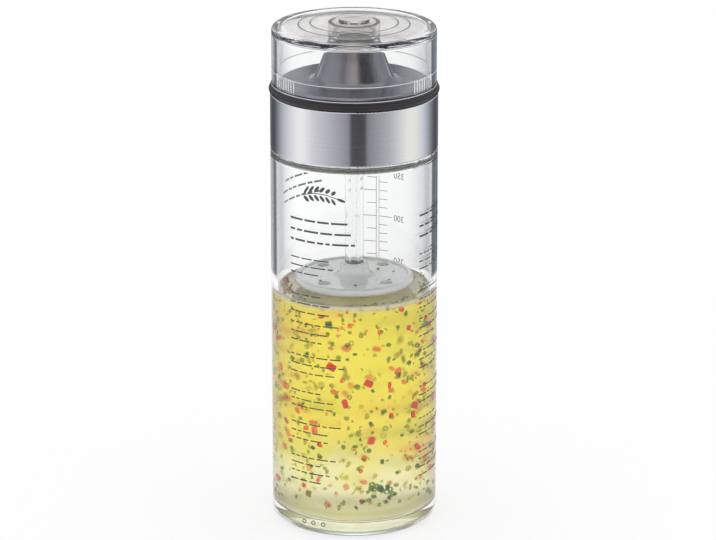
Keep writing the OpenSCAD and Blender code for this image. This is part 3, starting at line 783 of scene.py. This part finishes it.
class SHAKER_OT_marks(bpy.types.Operator):
    """Press the three small rings into the heel of the glass"""

    bl_idname = "shaker.marks"
    bl_label = "Heel marks"

    def execute(self, context):
        frosted = moulded("Frosted pressed glass", "#60685E", "#70786E", (0.4, 0.6), 0.5, 0.01)
        bm = bmesh.new()
        for azimuth in (-37.0, -29.5, -22.0):
            ring = bmesh.new()
            section = bmesh.ops.create_circle(ring, segments=8, radius=0.2)["verts"]
            turn = Matrix.Translation((0.75, 0, 0)) @ Matrix.Rotation(math.pi / 2, 4, "X")
            bmesh.ops.transform(ring, verts=section, matrix=turn)
            bmesh.ops.spin(
                ring, geom=ring.verts[:] + ring.edges[:], cent=(0, 0, 0), axis=(0, 0, 1), angle=2 * math.pi,
                steps=24, use_merge=True,
            )
            bmesh.ops.remove_doubles(ring, verts=ring.verts, dist=0.001)
            bmesh.ops.recalc_face_normals(ring, faces=ring.faces)
            wrap(ring, azimuth, 5.4)
            mesh = bpy.data.meshes.new("ring")
            ring.to_mesh(mesh)
            ring.free()
            bm.from_mesh(mesh)
            bpy.data.meshes.remove(mesh)
        piece("heel_marks", bm, frosted)
        return {"FINISHED"}


# Stage


class StageSettings(bpy.types.PropertyGroup):
    distance: FloatProperty(
        name="Distance", description="Camera to the middle of the bottle", default=1.547, unit="LENGTH"
    )
    elevation: FloatProperty(
        name="Elevation", description="Angle that the camera looks down by", default=math.radians(17.36),
        subtype="ANGLE",
    )
    look_at: FloatVectorProperty(
        name="Look at", description="Point in the middle of the picture", default=(0.00149, 0, 0.1005), unit="LENGTH",
        size=3,
    )
    lens: FloatProperty(name="Lens", description="Focal length in millimetres", default=198.46)
    floor_radius: FloatProperty(name="Floor", description="Radius of the pale floor", default=0.33, unit="LENGTH")


# The studio round the bottle by azimuth, as the steel mirrors it from low down: a bright panel on either
# side with a dark gap behind it, paler towards the camera, and a dark strip by the camera
PANELS = [
    (-180, "#8A8C90"), (-150, "#4C4C54"), (-137, "#5C5C62"), (-110, "#CACDD4"), (-84, "#FFFFFF"), (-74, "#FFFFFF"),
    (-58, "#DCDCE0"), (-20, "#A6A6AE"), (-7, "#8C8C94"), (-4, "#2A282C"), (15, "#2A282C"), (18, "#808288"),
    (50, "#B8BCC0"), (78, "#F8F8F2"), (92, "#F8F8F0"), (108, "#D8DCE4"), (128, "#8A9098"), (139, "#5A5C62"),
    (150, "#4C4C54"), (180, "#8A8C90"),
]
# The same studio as it shows through glass: a light table all round, and a narrow grey screen at either side
SCREENS = [
    (-180, "#FFFFFF"), (-174, "#FFFFFF"), (-168, "#D0D2D6"), (-160, "#A0A2A8"), (-152, "#606268"), (-146, "#7C7E84"),
    (-140, "#FFFFFF"), (140, "#FFFFFF"), (146, "#6A6E76"), (155, "#626970"), (163, "#8C9298"), (172, "#D8DADC"),
    (176, "#F8F8F8"), (180, "#FFFFFF"),
]
# The flag that hangs round the studio, as only the spout under the lid mirrors it: dark at the back, with a
# warm lamp over the camera, a black strip beside it, and paler strips to the sides
FLAG = [
    (-180, "#2E3036"), (-174, "#3C3E44"), (-168, "#B8BAC2"), (-120, "#A0A2AA"), (-96, "#C8CACE"), (-54, "#C4C6CE"),
    (-34, "#94969E"), (-5, "#FFEEE0"), (6, "#F0E0D4"), (22, "#28282E"), (36, "#101014"), (52, "#101014"),
    (88, "#C8CACE"), (120, "#A0A2AA"), (168, "#B8BAC2"), (174, "#3C3E44"), (180, "#2E3036"),
]
# The ceiling as the lid's outer faces mirror it, by the sine of its elevation: bright, with two dark battens
BATTENS = [
    (0.0, "#B0B0B4"), (0.05, "#8A8A8E"), (0.1, "#F2F2F4"), (0.42, "#F6F6F8"), (0.49, "#6A6C72"), (0.515, "#F8F8F8"),
    (0.545, "#F8F8F8"), (0.565, "#4E5056"), (0.59, "#F0F0F2"), (1.0, "#FFFFFF"),
]


def seen_directly(tree):
    """1 for what is seen, mirrored or seen through glass, and 0 for light that has met a dull surface."""
    rays = add(tree, "LightPath").outputs
    bent = add(tree, "Math", {0: rays["Is Glossy Ray"], 1: rays["Is Transmission Ray"]}, operation="MAXIMUM")
    shown = add(tree, "Math", {0: bent, 1: rays["Is Camera Ray"]}, operation="MAXIMUM")
    straight = add(tree, "Math", {0: rays["Diffuse Depth"], 1: 0.5}, operation="LESS_THAN")
    return add(tree, "Math", {0: shown, 1: straight}, operation="MULTIPLY")


def studio_world(world):
    """Even light on the object, a white background, and the studio's panels in gloss and glass."""
    world.use_nodes = True
    tree = world.node_tree
    tree.nodes.clear()
    parts = add(tree, "SeparateXYZ", {"Vector": add(tree, "TexCoord").outputs["Generated"]}).outputs
    front = add(tree, "Math", {0: parts["Y"], 1: -1.0}, operation="MULTIPLY")
    turn = add(tree, "Math", {0: parts["X"], 1: front}, operation="ARCTAN2")
    place = add(tree, "MapRange", {"Value": turn, "From Min": -math.pi, "From Max": math.pi})
    around = [
        add(tree, "ValToRGB", {"Fac": place}, stops=[((azimuth + 180) / 360, code) for azimuth, code in stops])
        for stops in (PANELS, SCREENS)
    ]
    panels, screens = around
    battens = add(tree, "ValToRGB", {"Fac": parts["Z"]}, stops=BATTENS)
    over = add(tree, "MapRange", {"Value": parts["Z"], "From Min": -0.05, "From Max": 0.05})
    mirrored = add(tree, "Mix", {"Factor": over, "A": panels, "B": battens}, data_type="RGBA")
    # The screens stand on the table, so that they show low down only
    tall = add(tree, "Math", {0: parts["Z"]}, operation="ABSOLUTE")
    past = add(tree, "MapRange", {"Value": tall, "From Min": 0.3, "From Max": 0.42})
    # They show through glass alone: light that has also crossed the dressing meets more than five faces
    rays = add(tree, "LightPath").outputs
    filled = add(tree, "Math", {0: rays["Transmission Depth"], 1: 4.5}, operation="GREATER_THAN")
    empty = add(tree, "Mix", {"Factor": past, "A": screens, "B": WHITE}, data_type="RGBA")
    through = add(tree, "Mix", {"Factor": filled, "A": empty, "B": WHITE}, data_type="RGBA")
    seen = add(tree, "Mix", {"Factor": rays["Is Transmission Ray"], "A": mirrored, "B": through}, data_type="RGBA")
    light = add(tree, "Mix", {"Factor": seen_directly(tree), "A": WHITE, "B": seen}, data_type="RGBA")
    shown = add(tree, "Mix", {"Factor": rays["Is Camera Ray"], "A": light, "B": WHITE}, data_type="RGBA")
    add(tree, "OutputWorld", {"Surface": add(tree, "Background", {"Color": shown, "Strength": 1.0})})


def dark_flag():
    """Black felt with lamps before it, which only light that has met the steel under the lid comes to."""
    made, tree = material("Black felt flag")
    parts = add(tree, "SeparateXYZ", {"Vector": place_mm(tree)}).outputs
    front = add(tree, "Math", {0: parts["Y"], 1: -1.0}, operation="MULTIPLY")
    turn = add(tree, "Math", {0: parts["X"], 1: front}, operation="ARCTAN2")
    place = add(tree, "MapRange", {"Value": turn, "From Min": -math.pi, "From Max": math.pi})
    shown = add(tree, "ValToRGB", {"Fac": place}, stops=[((azimuth + 180) / 360, code) for azimuth, code in FLAG])
    # Light that went in through the lid, met the steel and came out again has crossed four faces of the lid
    rays = add(tree, "LightPath").outputs
    once = add(tree, "Math", {0: rays["Glossy Depth"], 1: 0.5}, operation="GREATER_THAN")
    four = add(tree, "Math", {0: rays["Transmission Depth"], 1: 4.0, 2: 0.5}, operation="COMPARE")
    share = add(tree, "Math", {0: once, 1: four}, operation="MULTIPLY")
    glow = add(tree, "Emission", {"Color": shown, "Strength": 1.0})
    clear = add(tree, "BsdfTransparent")
    add(tree, "OutputMaterial", {"Surface": add(tree, "MixShader", {"Fac": share, 1: clear, 2: glow})})
    made.cycles.emission_sampling = "NONE"
    return made


def light_table():
    """White acrylic table, lit from below: white to the eye, and dimmed by the object's shadow."""
    made, tree = material("White acrylic light table")
    mottle = add(tree, "TexNoise", {"Vector": place_mm(tree), "Scale": 0.05})
    white = add(tree, "BsdfDiffuse", {
        "Color": add(tree, "ValToRGB", {"Fac": mottle}, stops=[(0.0, "#FCFCFC"), (1.0, "#FFFFFF")]),
    })
    rays = add(tree, "LightPath").outputs
    glow = add(tree, "Emission", {"Color": WHITE, "Strength": 1.0})
    bent = add(tree, "Math", {0: rays["Is Camera Ray"], 1: -0.22, 2: 1.0}, operation="MULTIPLY_ADD")
    share = add(tree, "Math", {0: seen_directly(tree), 1: bent}, operation="MULTIPLY")
    add(tree, "OutputMaterial", {"Surface": add(tree, "MixShader", {"Fac": share, 1: white, 2: glow})})
    return made


class SHAKER_OT_stage(bpy.types.Operator):
    """Set up the camera, the light table and the studio's light"""

    bl_idname = "shaker.stage"
    bl_label = "Stage"

    def execute(self, context):
        settings = context.scene.shaker_stage
        scene = context.scene
        scene.view_settings.view_transform = "Standard"
        # Light turns many times inside thick glass and in the dressing before it comes out
        scene.cycles.max_bounces = 32
        scene.cycles.transmission_bounces = 32
        scene.cycles.glossy_bounces = 16
        scene.cycles.diffuse_bounces = 8
        scene.cycles.transparent_max_bounces = 16
        tilt = settings.elevation
        lens = bpy.data.cameras.new("camera")
        lens.sensor_width = 36
        lens.lens = settings.lens
        lens.clip_start = 0.05
        camera = bpy.data.objects.new("camera", lens)
        scene.collection.objects.link(camera)
        camera.location = Vector(settings.look_at) + settings.distance * Vector((0, -math.cos(tilt), math.sin(tilt)))
        camera.rotation_euler = Euler((math.pi / 2 - tilt, 0, 0))
        scene.camera = camera
        table = bmesh.new()
        bmesh.ops.create_circle(table, cap_ends=True, segments=96, radius=settings.floor_radius)
        bmesh.ops.translate(table, vec=(0, 0, -0.02 * MM), verts=table.verts)
        flag = bmesh.new()
        bmesh.ops.create_circle(flag, segments=96, radius=0.15)
        raised = bmesh.ops.extrude_edge_only(flag, edges=flag.edges[:])["geom"]
        bmesh.ops.translate(flag, vec=(0, 0, 0.14), verts=[p for p in raised if isinstance(p, bmesh.types.BMVert)])
        bmesh.ops.translate(flag, vec=(0, 0, 0.19), verts=flag.verts)
        for name, bm, made in (("floor", table, light_table()), ("flag", flag, dark_flag())):
            mesh = bpy.data.meshes.new(name)
            bm.to_mesh(mesh)
            bm.free()
            mesh.materials.append(made)
            thing = bpy.data.objects.new(name, mesh)
            scene.collection.objects.link(thing)
        scene.world = bpy.data.worlds.new("studio")
        studio_world(scene.world)
        return {"FINISHED"}


class SHAKER_PT_panel(bpy.types.Panel):
    """Sizes and colours of the shaker, and a button for each group of its pieces"""

    bl_idname = "SHAKER_PT_panel"
    bl_label = "Dressing shaker"
    bl_space_type = "VIEW_3D"
    bl_region_type = "UI"
    bl_category = "Shaker"

    def draw(self, context):
        scene = context.scene
        for settings, operators in (
            (scene.shaker_stage, ("shaker.stage",)),
            (scene.shaker_finish, ("shaker.finishes", "shaker.edges")),
            (scene.shaker_dressing, ("shaker.dressing", "shaker.herbs")),
            (scene.shaker_print, ("shaker.print", "shaker.marks")),
        ):
            box = self.layout.box()
            for name in settings.__annotations__:
                box.prop(settings, name)
            for operator in operators:
                box.operator(operator)


SETTINGS = {
    "shaker_stage": StageSettings, "shaker_finish": FinishSettings, "shaker_dressing": DressingSettings,
    "shaker_print": PrintSettings,
}
OPERATORS = (
    SHAKER_OT_stage, SHAKER_OT_finishes, SHAKER_OT_dressing, SHAKER_OT_herbs, SHAKER_OT_print, SHAKER_OT_marks,
    SHAKER_OT_edges,
)
CLASSES = (*SETTINGS.values(), *OPERATORS, SHAKER_PT_panel)


def register():
    for item in CLASSES:
        bpy.utils.register_class(item)
    for name, group in SETTINGS.items():
        setattr(bpy.types.Scene, name, PointerProperty(type=group))


def unregister():
    for name in SETTINGS:
        delattr(bpy.types.Scene, name)
    for item in reversed(CLASSES):
        bpy.utils.unregister_class(item)


def main():
    register()
    bpy.ops.shaker.stage()
    bpy.ops.shaker.finishes()
    bpy.ops.shaker.dressing()
    bpy.ops.shaker.herbs()
    bpy.ops.shaker.print()
    bpy.ops.shaker.marks()
    bpy.ops.shaker.edges()


if __name__ == "__main__":
    main()
